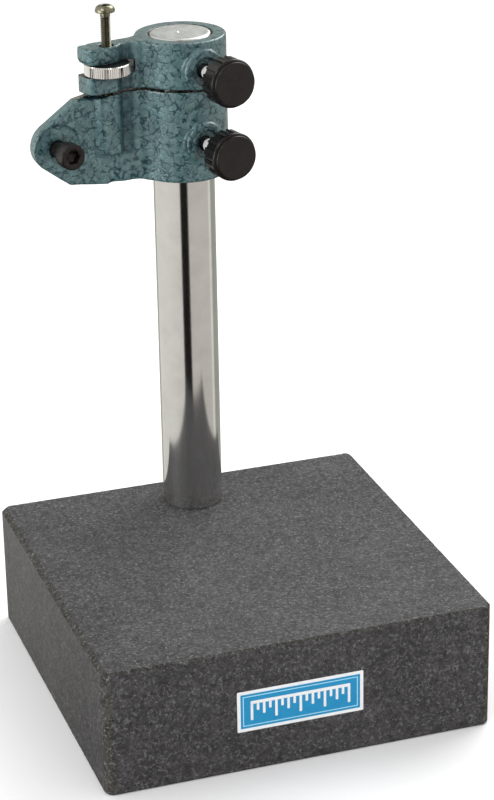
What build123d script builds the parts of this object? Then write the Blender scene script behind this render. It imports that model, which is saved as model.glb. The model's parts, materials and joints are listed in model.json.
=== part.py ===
from build123d import *
import math
import os

# Granite-base indicator stand: a chromed column bolted to a granite block carries
# a two-piece clamp head. The upper collar and the lower arm are tied together by
# the fine-adjustment screw, and each is locked to the column by a knob screw.
#
# Frame of the part: origin at the centre of the block's underside, +X along the
# block's front edge, +Y to its back, +Z up. The head is drawn in its own frame
# (x along the arm, y out towards the knobs, z up, column axis at x = y = 0) and
# then swung round the column to where it is clamped.

# ---- granite block ----
BLOCK_SIDE = 152.4
BLOCK_HEIGHT = 50.8
CORNER_R = 3.5
TOP_CHAMFER = 2.0
BOTTOM_CHAMFER = 0.8
COUNTERBORE_R = 15.0
COUNTERBORE_DEPTH = 16.0
STUD_HOLE_R = 5.5
OVERCUT = 1.0

# ---- column and its fixing ----
COLUMN_Y = 55.2
COLUMN_R = 12.0
COLUMN_TOP = 246.8
COLUMN_EDGE = 1.3
COLUMN_SEAT_GAP = 0.05
CENTRE_DRILL_R = 1.0
CENTRE_DRILL_DEPTH = 0.8
THREAD_CLEARANCE = 0.05
STUD_R = 5.0
STUD_BOTTOM = 2.0
STUD_LENGTH = 66.0
STUD_CHAMFER = 0.8
COLUMN_HOLE_DEPTH = 20.0
WASHER_R = 10.0
WASHER_HOLE_R = 5.25
WASHER_T = 2.0
LOCK_WASHER_R = 9.0
LOCK_WASHER_HOLE_R = 5.2
LOCK_WASHER_T = 2.5
LOCK_WASHER_SPLIT = 1.2
LOCK_WASHER_SPLIT_TILT = 20.0
NUT_FLATS = 16.0
NUT_HEIGHT = 8.0

# ---- maker's sticker on the front face ----
LABEL_WIDTH = 49.6
LABEL_HEIGHT = 16.8
LABEL_T = 0.12
LABEL_X = -0.7
LABEL_Z = 25.2
LABEL_CORNER_R = 0.8

# ---- head, common to both castings ----
HEAD_ANGLE = 192.7
RING_R = 17.7
BORE_R = COLUMN_R + 0.08
BORE_CHAMFER = 0.5
CAST_EDGE = 0.9
PARTING_EDGE = 0.5
NECK_BACK = -5.9
NECK_FRONT = 2.2
NECK_BLEND_R = 7.0

# ---- upper collar ----
COLLAR_BOTTOM = 228.6
COLLAR_TOP = 246.6
EAR_START = 27.5
EAR_END = 41.6
EAR_BACK = -6.8
EAR_FRONT = 3.4
EAR_CORNER_R = 4.6
EAR_BACK_CORNER_R = 1.6
EAR_ROOT_R = 2.6
SLOT_BOTTOM = 235.2
SLOT_HEIGHT = 4.8
SLOT_END = 21.4
FINE_SCREW_X = 32.0
FINE_CLEARANCE_R = 2.8

# ---- lower arm ----
ARM_BOTTOM = 191.7
ARM_TOP = 227.7
LUG_BACK = -6.3
LUG_FRONT = 0.0
LUG_TOP_X = 44.8
LUG_BOTTOM_X = 33.0
LUG_KNEE_X = 49.4
LUG_KNEE_Z = 194.3
LUG_SCREW_X = 54.2
LUG_SCREW_Z = 209.5
LUG_NOSE_R = 9.9
LUG_NOSE_Z = 210.2
LUG_ROOT_LAP = 3.0
SPOT_FACE_R = 9.4
SPOT_FACE_DEPTH = 0.8
PAD_BOTTOM = 204.4
PAD_END = 37.8
PAD_FRONT = 3.4
PAD_SIDE_R = 2.6
THREAD_RUNOUT = 1.5

# ---- fine adjustment ----
FINE_SCREW_R = 2.0
FINE_SCREW_SHOULDER_Z = 259.3
FINE_SCREW_LENGTH = 45.0
FINE_SCREW_TIP = 0.5
FINE_HEAD_R = 3.8
FINE_HEAD_H = 2.6
FINE_HEAD_DOME_R = 1.9
FINE_HEX = 2.5
FINE_HEX_DEPTH = 1.3
FINE_NUT_R = 8.8
FINE_NUT_T = 4.5
FINE_NUT_Z = SLOT_BOTTOM + (SLOT_HEIGHT - FINE_NUT_T) / 2
FINE_NUT_EDGE = 0.3
KNURLS = 60
KNURL_R = 0.22

# ---- clamp knobs, M5 studs and brass shoes ----
UPPER_CLAMP_Z = 235.3
LOWER_CLAMP_Z = 206.9
BOSS_R = 8.6
BOSS_FACE = 18.8
BOSS_EDGE_R = 1.4
BOSS_DISH_R = 5.4
BOSS_DISH_DEPTH = 1.4
CLAMP_R = 2.5
SHOE_R = 2.46
SHOE_FRONT = COLUMN_R + 0.1
SHOE_BACK = 14.2
CLAMP_END_GAP = 0.05
CLAMP_BORE_START = 2.0
CLAMP_SCREW_EDGE = 0.4
KNOB_BACK = 31.0
KNOB_FRONT = 39.2
KNOB_R = 9.3
KNOB_SHOULDER = 0.9
KNOB_BACK_EDGE = 0.4
KNOB_LOBES = 12
KNOB_GROOVE_W = 2.2
KNOB_GROOVE_DEPTH = 0.8
KNOB_GROOVE_STOP = 37.9
CAP_R = 8.5
CAP_SEAT_R = 7.4
CAP_SEAT_DEPTH = 1.2
CAP_FACE = 40.6
CAP_EDGE_R = 0.6
STUD_SOCKET_END = 36.5

# ---- screw that holds an indicator's lug ----
LUG_SCREW_R = 3.0
LUG_SCREW_LENGTH = 12.0
LUG_SCREW_TIP = 0.6
LUG_HEAD_R = 5.0
LUG_HEAD_H = 6.0
LUG_HEAD_BACK = 6.5
LUG_HEX = 5.0
LUG_HEX_DEPTH = 3.2
LUG_HEAD_EDGE = 0.5

HEAD_PLACE = Pos(0, COLUMN_Y, 0) * Rot(0, 0, HEAD_ANGLE)
UP = (Align.CENTER, Align.CENTER, Align.MIN)


def column_tube(radius, bottom, top):
    """Upright cylinder about the local z axis, from one height to another."""
    return Pos(0, 0, bottom) * Cylinder(radius, top - bottom, align=UP)


def outward_rod(radius, start, end, x=0.0, z=0.0):
    """Cylinder along the head's y axis, from y = start to y = end."""
    rod = Cylinder(radius, end - start, align=UP)
    return Pos(x, start, z) * Rot(-90, 0, 0) * rod


def hexagon_prism(flats, depth):
    """Hexagonal prism that stands on the xy plane, measured across its flats."""
    outline = RegularPolygon(flats / math.sqrt(3), 6)
    return extrude(outline, depth)


def level_edges(shape, height):
    """Edges of the shape that lie flat at one height."""
    return shape.edges().filter_by_position(Axis.Z, height, height)


def round_edges(shape):
    """Circular edges of the shape, from the one furthest back to the one furthest out."""
    return shape.edges().filter_by(GeomType.CIRCLE).sort_by(Axis.Y)


def corner(plan, x_side, y_side):
    """Vertex of a plan that is furthest towards one corner; each side is +1 or -1."""
    return plan.vertices().sort_by(lambda v: x_side * v.X + y_side * v.Y)[-1]


# ---------------------------------------------------------------- base group
def make_granite_base():
    block = Box(BLOCK_SIDE, BLOCK_SIDE, BLOCK_HEIGHT, align=UP)
    block = fillet(block.edges().filter_by(Axis.Z), CORNER_R)
    block = chamfer(level_edges(block, BLOCK_HEIGHT), TOP_CHAMFER)
    block = chamfer(level_edges(block, 0), BOTTOM_CHAMFER)
    hole = column_tube(STUD_HOLE_R, 0, BLOCK_HEIGHT)
    counterbore = column_tube(COUNTERBORE_R, 0, COUNTERBORE_DEPTH)
    return block - Pos(0, COLUMN_Y, 0) * (hole + counterbore)


def make_column():
    bottom = BLOCK_HEIGHT + COLUMN_SEAT_GAP
    column = column_tube(COLUMN_R, bottom, COLUMN_TOP)
    column = fillet(level_edges(column, COLUMN_TOP), COLUMN_EDGE)
    tapped = column_tube(STUD_R + THREAD_CLEARANCE, bottom, bottom + COLUMN_HOLE_DEPTH)
    drill = Cone(0, CENTRE_DRILL_R, CENTRE_DRILL_DEPTH, align=UP)
    centre = Pos(0, 0, COLUMN_TOP - CENTRE_DRILL_DEPTH) * drill
    return Pos(0, COLUMN_Y, 0) * (column - tapped - centre)


def make_column_stud():
    stud = column_tube(STUD_R, STUD_BOTTOM, STUD_BOTTOM + STUD_LENGTH)
    return Pos(0, COLUMN_Y, 0) * chamfer(round_edges(stud), STUD_CHAMFER)


def make_column_washer():
    top = COUNTERBORE_DEPTH
    disc = column_tube(WASHER_R, top - WASHER_T, top)
    hole = column_tube(WASHER_HOLE_R, top - WASHER_T, top)
    return Pos(0, COLUMN_Y, 0) * (disc - hole)


def make_column_lock_washer():
    top = COUNTERBORE_DEPTH - WASHER_T
    disc = column_tube(LOCK_WASHER_R, top - LOCK_WASHER_T, top)
    hole = column_tube(LOCK_WASHER_HOLE_R, top - LOCK_WASHER_T, top)
    split = Box(LOCK_WASHER_R * 2, LOCK_WASHER_SPLIT, LOCK_WASHER_T * 4)
    split = Rot(LOCK_WASHER_SPLIT_TILT, 0, 0) * split
    split = Pos(LOCK_WASHER_R, 0, top - LOCK_WASHER_T / 2) * split
    return Pos(0, COLUMN_Y, 0) * (disc - hole - split)


def make_column_nut():
    bottom = COUNTERBORE_DEPTH - WASHER_T - LOCK_WASHER_T - NUT_HEIGHT
    spread = NUT_HEIGHT * math.sqrt(3)
    bevel = Cone(NUT_FLATS / 2, NUT_FLATS / 2 + spread, NUT_HEIGHT, align=UP)
    nut = hexagon_prism(NUT_FLATS, NUT_HEIGHT) & bevel
    nut -= column_tube(STUD_R, 0, NUT_HEIGHT)
    return Pos(0, COLUMN_Y, bottom) * nut


def make_front_label():
    sticker = Box(LABEL_WIDTH, LABEL_T, LABEL_HEIGHT)
    sticker = fillet(sticker.edges().filter_by(Axis.Y), LABEL_CORNER_R)
    return Pos(LABEL_X, -BLOCK_SIDE / 2 - LABEL_T / 2, LABEL_Z) * sticker


# ------------------------------------------------------------- head castings
def neck_outline(end, front, back):
    """Plan of the ring with a plain neck towards the arm."""
    neck = Rectangle(end, front - back, align=(Align.MIN, Align.MIN))
    plan = Circle(RING_R) + Pos(0, back) * neck
    roots = plan.vertices().filter_by(lambda v: 0 < v.X < RING_R)
    return fillet(roots, NECK_BLEND_R)


def ear_outline():
    """Plan of the upper collar: ring, neck and the ear round the fine screw."""
    ear = Rectangle(EAR_END - EAR_START, EAR_FRONT - EAR_BACK, align=(Align.MIN, Align.MIN))
    ear = fillet(corner(ear, -1, -1), EAR_ROOT_R)
    ear = fillet(corner(ear, -1, 1), EAR_ROOT_R)
    ear = fillet(corner(ear, 1, -1), EAR_BACK_CORNER_R)
    ear = fillet(corner(ear, 1, 1), EAR_CORNER_R)
    neck = neck_outline(EAR_START + EAR_ROOT_R, NECK_FRONT, NECK_BACK)
    return neck + Pos(EAR_START, EAR_BACK) * ear


def clamp_boss(height, bottom, top):
    """Round boss on the ring's front, dished in the middle, with its knob bore."""
    boss = outward_rod(BOSS_R, BORE_R, BOSS_FACE, z=height)
    boss = fillet(round_edges(boss)[-1], BOSS_EDGE_R)
    slab = Pos(0, 0, bottom) * Box(4 * RING_R, 4 * RING_R, top - bottom, align=UP)
    return boss & slab


def clamp_cuts(height):
    """What is cut from the ring for one clamp: the dish and the screw's bore."""
    end = BOSS_FACE + OVERCUT
    dish = outward_rod(BOSS_DISH_R, BOSS_FACE - BOSS_DISH_DEPTH, end, z=height)
    bore = outward_rod(CLAMP_R + THREAD_CLEARANCE, CLAMP_BORE_START, end, z=height)
    return dish + bore


def column_bore(bottom, top):
    """Bore for the column, with a small chamfer at each end."""
    bore = column_tube(BORE_R, bottom, top)
    widening = Cone(BORE_R + BORE_CHAMFER, BORE_R, BORE_CHAMFER, align=UP)
    lower = Pos(0, 0, bottom) * widening
    upper = Pos(0, 0, top) * Rot(180, 0, 0) * widening
    return bore + lower + upper


def make_upper_collar():
    body = extrude(ear_outline(), COLLAR_TOP - COLLAR_BOTTOM)
    body = Pos(0, 0, COLLAR_BOTTOM) * body
    body = fillet(level_edges(body, COLLAR_TOP), CAST_EDGE)
    body = fillet(level_edges(body, COLLAR_BOTTOM), PARTING_EDGE)
    body += clamp_boss(UPPER_CLAMP_Z, COLLAR_BOTTOM, COLLAR_TOP)
    body -= column_bore(COLLAR_BOTTOM, COLLAR_TOP)
    body -= clamp_cuts(UPPER_CLAMP_Z)
    slot = Box(EAR_END, 3 * FINE_NUT_R, SLOT_HEIGHT, align=(Align.MIN, Align.CENTER, Align.MIN))
    body -= Pos(SLOT_END, 0, SLOT_BOTTOM) * slot
    screw_hole = column_tube(FINE_CLEARANCE_R, COLLAR_BOTTOM, COLLAR_TOP)
    body -= Pos(FINE_SCREW_X, 0, 0) * screw_hole
    return HEAD_PLACE * body


def tangent_point(x, z, side):
    """Where the line from (x, z) touches the lug's nose; side is +1 above, -1 below."""
    dx = x - LUG_SCREW_X
    dz = z - LUG_NOSE_Z
    distance = math.hypot(dx, dz)
    turn = side * math.acos(LUG_NOSE_R / distance)
    angle = math.atan2(dz, dx) - turn
    nose_x = LUG_SCREW_X + LUG_NOSE_R * math.cos(angle)
    nose_z = LUG_NOSE_Z + LUG_NOSE_R * math.sin(angle)
    return (nose_x, nose_z)


def lug_slab():
    """Upright slab that carries the indicator, as a profile in the xz plane."""
    root = RING_R - LUG_ROOT_LAP
    upper = tangent_point(LUG_TOP_X, ARM_TOP, 1)
    lower = tangent_point(LUG_KNEE_X, LUG_KNEE_Z, -1)
    tip = (LUG_SCREW_X + LUG_NOSE_R, LUG_NOSE_Z)
    with BuildSketch(Plane.XZ) as profile:
        with BuildLine():
            Polyline((root, ARM_TOP), (LUG_TOP_X, ARM_TOP), upper)
            ThreePointArc(upper, tip, lower)
            Polyline(
                lower,
                (LUG_KNEE_X, LUG_KNEE_Z),
                (LUG_BOTTOM_X, ARM_BOTTOM),
                (root, ARM_BOTTOM),
                (root, ARM_TOP),
            )
        make_face()
    slab = extrude(profile.sketch, LUG_FRONT - LUG_BACK)
    slab = Pos(0, LUG_FRONT, 0) * slab
    outer = slab.edges().filter_by(lambda e: e.center().X > RING_R)
    outer = outer.filter_by(lambda e: e.center().Z < ARM_TOP - PARTING_EDGE)
    front = outer.filter_by_position(Axis.Y, LUG_FRONT, LUG_FRONT)
    back = outer.filter_by_position(Axis.Y, LUG_BACK, LUG_BACK)
    return fillet(front + back, CAST_EDGE)


def screw_pad():
    """Pad on the arm's front below the ear, round the fine screw's thread."""
    width = PAD_END - EAR_START
    pad = Rectangle(width, PAD_FRONT - LUG_BACK, align=(Align.MIN, Align.MIN))
    pad = fillet(corner(pad, -1, 1), PAD_SIDE_R)
    pad = fillet(corner(pad, 1, 1), PAD_SIDE_R)
    body = extrude(Pos(EAR_START, LUG_BACK) * pad, ARM_TOP - PAD_BOTTOM)
    return Pos(0, 0, PAD_BOTTOM) * body


def make_lower_arm():
    core = neck_outline(EAR_START + NECK_FRONT, NECK_FRONT, NECK_BACK)
    core = Pos(0, 0, ARM_BOTTOM) * extrude(core, ARM_TOP - ARM_BOTTOM)
    core = fillet(level_edges(core, ARM_BOTTOM), CAST_EDGE)
    body = core + lug_slab() + screw_pad()
    body = fillet(level_edges(body, ARM_TOP), PARTING_EDGE)
    body += clamp_boss(LOWER_CLAMP_Z, ARM_BOTTOM, ARM_TOP)
    body -= column_bore(ARM_BOTTOM, ARM_TOP)
    body -= clamp_cuts(LOWER_CLAMP_Z)
    spot_face = outward_rod(SPOT_FACE_R, LUG_FRONT - SPOT_FACE_DEPTH, LUG_FRONT + OVERCUT)
    tapped = outward_rod(LUG_SCREW_R + THREAD_CLEARANCE, LUG_BACK - OVERCUT, LUG_FRONT)
    body -= Pos(LUG_SCREW_X, 0, LUG_SCREW_Z) * (spot_face + tapped)
    screw_tip = FINE_SCREW_SHOULDER_Z - FINE_SCREW_LENGTH
    thread = column_tube(FINE_SCREW_R, screw_tip - THREAD_RUNOUT, ARM_TOP)
    return HEAD_PLACE * (body - Pos(FINE_SCREW_X, 0, 0) * thread)


# ------------------------------------------------------------ fine adjustment
def make_fine_adjust_screw():
    shoulder = FINE_SCREW_SHOULDER_Z
    tip = shoulder - FINE_SCREW_LENGTH
    crown = shoulder + FINE_HEAD_H
    shank = column_tube(FINE_SCREW_R, tip, shoulder)
    shank = chamfer(level_edges(shank, tip), FINE_SCREW_TIP)
    head = column_tube(FINE_HEAD_R, shoulder, crown)
    head = fillet(level_edges(head, crown), FINE_HEAD_DOME_R)
    socket = hexagon_prism(FINE_HEX, FINE_HEX_DEPTH + OVERCUT)
    socket = Pos(0, 0, crown - FINE_HEX_DEPTH) * socket
    return HEAD_PLACE * Pos(FINE_SCREW_X, 0, 0) * (shank + head - socket)


def make_fine_adjust_nut():
    top = FINE_NUT_Z + FINE_NUT_T
    nut = chamfer(round_edges(column_tube(FINE_NUT_R, FINE_NUT_Z, top)), FINE_NUT_EDGE)
    hole = column_tube(FINE_SCREW_R + THREAD_CLEARANCE, FINE_NUT_Z, top)
    flute = column_tube(KNURL_R, FINE_NUT_Z - OVERCUT, top + OVERCUT)
    flutes = PolarLocations(FINE_NUT_R + KNURL_R / 3, KNURLS) * flute
    return HEAD_PLACE * Pos(FINE_SCREW_X, 0, 0) * (nut - hole - flutes)


# ---------------------------------------------------------------- clamp knobs
def make_clamp_shoe(height):
    """Brass shoe that the screw presses on the column, hollowed to fit it."""
    shoe = outward_rod(SHOE_R, CLAMP_BORE_START, SHOE_BACK, z=height)
    hollow = column_tube(SHOE_FRONT, height - 2 * SHOE_R, height + 2 * SHOE_R)
    return HEAD_PLACE * (shoe - hollow)


def make_knob_screw(height):
    start = SHOE_BACK + CLAMP_END_GAP
    screw = outward_rod(CLAMP_R, start, STUD_SOCKET_END, z=height)
    return HEAD_PLACE * chamfer(round_edges(screw), CLAMP_SCREW_EDGE)


def make_knob(height):
    """Moulded knob: broad lobes with square grooves, closed by the shoulder."""
    knob = outward_rod(KNOB_R, KNOB_BACK, KNOB_FRONT)
    knob = fillet(round_edges(knob)[-1], KNOB_SHOULDER)
    knob = chamfer(round_edges(knob)[0], KNOB_BACK_EDGE)
    length = KNOB_GROOVE_STOP - KNOB_BACK + OVERCUT
    groove = Box(KNOB_GROOVE_W, length, KNOB_R, align=(Align.CENTER, Align.MIN, Align.MIN))
    groove = Pos(0, KNOB_BACK - OVERCUT, KNOB_R - KNOB_GROOVE_DEPTH) * groove
    for lobe in range(KNOB_LOBES):
        knob -= Rot(0, lobe * 360 / KNOB_LOBES, 0) * groove
    knob -= outward_rod(CAP_SEAT_R, KNOB_FRONT - CAP_SEAT_DEPTH, KNOB_FRONT + OVERCUT)
    knob -= outward_rod(CLAMP_R, KNOB_BACK - OVERCUT, STUD_SOCKET_END)
    return HEAD_PLACE * Pos(0, 0, height) * knob


def make_knob_cap(height):
    """Flat disc that snaps into the knob's front and hides the stud's end."""
    disc = outward_rod(CAP_R, KNOB_FRONT, CAP_FACE, z=height)
    disc = fillet(round_edges(disc)[-1], CAP_EDGE_R)
    plug = outward_rod(CAP_SEAT_R, KNOB_FRONT - CAP_SEAT_DEPTH, KNOB_FRONT, z=height)
    return HEAD_PLACE * (disc + plug)


# -------------------------------------------------------------- lug screw
def make_lug_screw():
    head_face = LUG_HEAD_BACK + LUG_HEAD_H
    shank = outward_rod(LUG_SCREW_R, LUG_HEAD_BACK - LUG_SCREW_LENGTH, LUG_HEAD_BACK)
    shank = chamfer(round_edges(shank)[0], LUG_SCREW_TIP)
    head = outward_rod(LUG_HEAD_R, LUG_HEAD_BACK, head_face)
    head = chamfer(round_edges(head)[-1], LUG_HEAD_EDGE)
    socket = Rot(-90, 0, 0) * hexagon_prism(LUG_HEX, LUG_HEX_DEPTH + OVERCUT)
    socket = Pos(0, head_face - LUG_HEX_DEPTH, 0) * socket
    return HEAD_PLACE * Pos(LUG_SCREW_X, 0, LUG_SCREW_Z) * (shank + head - socket)


def build_parts():
    parts = {
        "granite_base": make_granite_base(),
        "column": make_column(),
        "column_stud": make_column_stud(),
        "column_washer": make_column_washer(),
        "column_lock_washer": make_column_lock_washer(),
        "column_nut": make_column_nut(),
        "front_label": make_front_label(),
        "upper_collar": make_upper_collar(),
        "lower_arm": make_lower_arm(),
        "fine_adjust_screw": make_fine_adjust_screw(),
        "fine_adjust_nut": make_fine_adjust_nut(),
        "lug_screw": make_lug_screw(),
    }
    for name, height in (("upper", UPPER_CLAMP_Z), ("lower", LOWER_CLAMP_Z)):
        parts[name + "_clamp_shoe"] = make_clamp_shoe(height)
        parts[name + "_knob_screw"] = make_knob_screw(height)
        parts[name + "_knob"] = make_knob(height)
        parts[name + "_knob_cap"] = make_knob_cap(height)
    return parts


os.makedirs("parts", exist_ok=True)
for node, solid in build_parts().items():
    export_step(solid, "parts/" + node + ".step")
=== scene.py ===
import json
import math

import bmesh
import bpy
from mathutils import Matrix, Vector, noise


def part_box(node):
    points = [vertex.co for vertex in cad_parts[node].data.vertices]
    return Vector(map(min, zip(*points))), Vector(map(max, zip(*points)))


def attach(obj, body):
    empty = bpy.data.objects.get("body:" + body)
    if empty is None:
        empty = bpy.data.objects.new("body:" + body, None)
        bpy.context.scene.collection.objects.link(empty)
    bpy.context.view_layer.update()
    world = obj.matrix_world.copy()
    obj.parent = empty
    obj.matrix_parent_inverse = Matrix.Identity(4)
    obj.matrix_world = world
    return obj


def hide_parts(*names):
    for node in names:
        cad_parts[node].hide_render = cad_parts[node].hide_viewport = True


# Granite-base indicator stand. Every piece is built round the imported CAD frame,
# in metres. The head's pieces are drawn in the head's own frame: x along the
# arm, y out from the column to the knobs, z up, column axis at x = y = 0.

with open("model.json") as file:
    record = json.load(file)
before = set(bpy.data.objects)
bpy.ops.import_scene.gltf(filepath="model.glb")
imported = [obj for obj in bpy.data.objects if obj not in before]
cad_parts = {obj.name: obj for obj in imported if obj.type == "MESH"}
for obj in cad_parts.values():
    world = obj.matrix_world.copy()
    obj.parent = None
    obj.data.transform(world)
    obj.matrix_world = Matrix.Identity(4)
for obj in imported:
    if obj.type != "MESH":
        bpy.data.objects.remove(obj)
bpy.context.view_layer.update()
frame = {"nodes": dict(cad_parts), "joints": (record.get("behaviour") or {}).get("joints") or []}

MM = 0.001
TURN = 2 * math.pi
UP = Vector((0, 0, 1))
JOINTS = {joint["name"]: joint for joint in frame["joints"]}
OUT = Vector(JOINTS["upper_clamp_travel"]["axis"]).normalized()
ALONG = OUT.cross(UP)


def head_frame():
    """Matrix from the head's own frame to the row frame."""
    low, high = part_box("column")
    place = Matrix((ALONG, OUT, UP)).transposed().to_4x4()
    place.translation = Vector(((low.x + high.x) / 2, (low.y + high.y) / 2, 0))
    return place


HEAD = head_frame()


def head_box(node):
    """Lowest and highest corner of a CAD node, measured in the head's frame."""
    inverse = HEAD.inverted()
    points = [inverse @ vertex.co for vertex in frame["nodes"][node].data.vertices]
    low = Vector([min(p[axis] for p in points) for axis in range(3)])
    high = Vector([max(p[axis] for p in points) for axis in range(3)])
    return low, high


# ------------------------------------------------------------------ materials
class Nodes:
    """A node tree. Each method adds one node and returns its output."""

    def __init__(self, tree):
        self.tree = tree

    def node(self, kind, **settings):
        made = self.tree.nodes.new(kind)
        for name, value in settings.items():
            setattr(made, name, value)
        return made

    def feed(self, socket, value):
        """Connects an output to a socket, or sets the socket to a plain value."""
        if isinstance(value, bpy.types.NodeSocket):
            self.tree.links.new(value, socket)
        else:
            socket.default_value = value

    def math(self, operation, first, second=0.0):
        made = self.node("ShaderNodeMath", operation=operation)
        self.feed(made.inputs[0], first)
        self.feed(made.inputs[1], second)
        return made.outputs[0]

    def vector(self, operation, first, second, output="Vector"):
        made = self.node("ShaderNodeVectorMath", operation=operation)
        self.feed(made.inputs[0], first)
        self.feed(made.inputs["Scale" if operation == "SCALE" else 1], second)
        return made.outputs[output]

    def ramp(self, value, *stops):
        """Grey or coloured ramp; each stop is (position, grey or (r, g, b))."""
        made = self.node("ShaderNodeValToRGB")
        self.feed(made.inputs["Fac"], value)
        points = made.color_ramp.elements
        while len(points) < len(stops):
            points.new(1.0)
        for point, (position, shade) in zip(points, stops):
            point.position = position
            point.color = (*shade, 1) if isinstance(shade, tuple) else (shade, shade, shade, 1)
        return made.outputs["Color"]

    def mix(self, share, first, second, blend="MIX"):
        """Colour mix of two colours, each an output or (r, g, b)."""
        made = self.node("ShaderNodeMix", data_type="RGBA", blend_type=blend)
        self.feed(made.inputs["Factor"], share)
        for socket, colour in ((made.inputs[6], first), (made.inputs[7], second)):
            self.feed(socket, (*colour, 1) if isinstance(colour, tuple) else colour)
        return made.outputs[2]

    def between(self, value, low, high, start=0.0, end=1.0):
        """Value from start..end stretched to low..high."""
        made = self.node("ShaderNodeMapRange")
        settings = {"Value": value, "From Min": start, "From Max": end, "To Min": low, "To Max": high}
        for name, setting in settings.items():
            self.feed(made.inputs[name], setting)
        return made.outputs["Result"]


class Shader(Nodes):
    """A node material, drawn in the object's own coordinates."""

    def __init__(self, name):
        self.material = bpy.data.materials.new(name)
        self.material.use_nodes = True
        super().__init__(self.material.node_tree)
        self.surface = self.tree.nodes["Principled BSDF"]
        self.place = self.node("ShaderNodeTexCoord").outputs["Object"]

    def set(self, **values):
        """Feeds sockets of the surface shader, named with _ for each space."""
        for name, value in values.items():
            self.feed(self.surface.inputs[name.replace("_", " ")], value)

    def noise(self, size, detail=3.0, rough=0.55, place=None):
        made = self.node("ShaderNodeTexNoise")
        self.feed(made.inputs["Vector"], place or self.place)
        self.feed(made.inputs["Scale"], 1 / size)
        self.feed(made.inputs["Detail"], detail)
        self.feed(made.inputs["Roughness"], rough)
        return made.outputs["Fac"]

    def cells(self, size, feature="F1", output="Distance", place=None):
        made = self.node("ShaderNodeTexVoronoi", feature=feature)
        self.feed(made.inputs["Vector"], place or self.place)
        self.feed(made.inputs["Scale"], 1 / size)
        return made.outputs[output]

    def warped(self, size, amount):
        """The place, pushed about by noise of that size, for uneven cells."""
        texture = self.node("ShaderNodeTexNoise")
        self.feed(texture.inputs["Vector"], self.place)
        self.feed(texture.inputs["Scale"], 1 / size)
        centred = self.vector("SUBTRACT", texture.outputs["Color"], (0.5, 0.5, 0.5))
        return self.vector("ADD", self.place, self.vector("SCALE", centred, amount))

    def stretched(self, x, y, z):
        """The place, scaled along each axis, for brushed and drawn finishes."""
        return self.vector("MULTIPLY", self.place, (x, y, z))

    def open_share(self, reach):
        """How open the surface is to its surroundings, 0 in tight hollows."""
        made = self.node("ShaderNodeAmbientOcclusion", samples=8)
        self.feed(made.inputs["Distance"], reach)
        return made.outputs["AO"]

    def bump(self, height, depth, under=None):
        made = self.node("ShaderNodeBump")
        self.feed(made.inputs["Height"], height)
        self.feed(made.inputs["Distance"], depth)
        if under is not None:
            self.feed(made.inputs["Normal"], under)
        return made.outputs["Normal"]


def granite(name, dark, light, fleck, roughness, relief, specular, flecks):
    """Fine black granite: mottled ground with grey grains and pale broken flecks."""
    s = Shader(name)
    uneven = s.warped(1.0 * MM, 1.3 * MM)
    ground = s.ramp(s.noise(1.7 * MM, 5, 0.75), (0.36, dark), (0.66, light))
    cloud = s.ramp(s.noise(28 * MM, 2), (0.3, 0.86), (0.72, 1.12))
    grain = s.ramp(s.cells(0.8 * MM, output="Color", place=uneven), (0.2, 0.76), (0.9, 1.26))
    patches = s.ramp(s.noise(4.2 * MM, 4, 0.7), (0.36, 0.76), (0.64, 1.24))
    colour = ground
    for shade in (cloud, grain, patches):
        colour = s.mix(1.0, colour, shade, "MULTIPLY")
    border = s.cells(1.7 * MM, "DISTANCE_TO_EDGE", place=uneven)
    patch = s.ramp(s.noise(1.3 * MM, 3, 0.7), (0.52, 0.0), (0.62, 1.0))
    veins = s.math("MULTIPLY", s.ramp(border, (0.0, 1.0), (0.17, 0.0)), patch)
    colour = s.mix(s.math("MULTIPLY", veins, 0.9 * flecks), colour, fleck)
    ragged = s.warped(0.7 * MM, 1.6 * MM)
    spacing = 2.9 * MM
    spot = s.ramp(s.cells(spacing, place=ragged), (0.03, 1.0), (0.17, 0.0))
    chosen = s.ramp(s.cells(spacing, output="Color", place=ragged), (0.45, 0.0), (0.75, 1.0))
    colour = s.mix(s.math("MULTIPLY", s.math("MULTIPLY", spot, chosen), flecks), colour, fleck)
    pits = s.noise(0.5 * MM, 3, 0.7)
    s.set(Base_Color=colour, Roughness=s.between(pits, roughness - 0.06, roughness + 0.08))
    s.set(Specular_IOR_Level=specular, Normal=s.bump(pits, relief))
    return s.material


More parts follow.
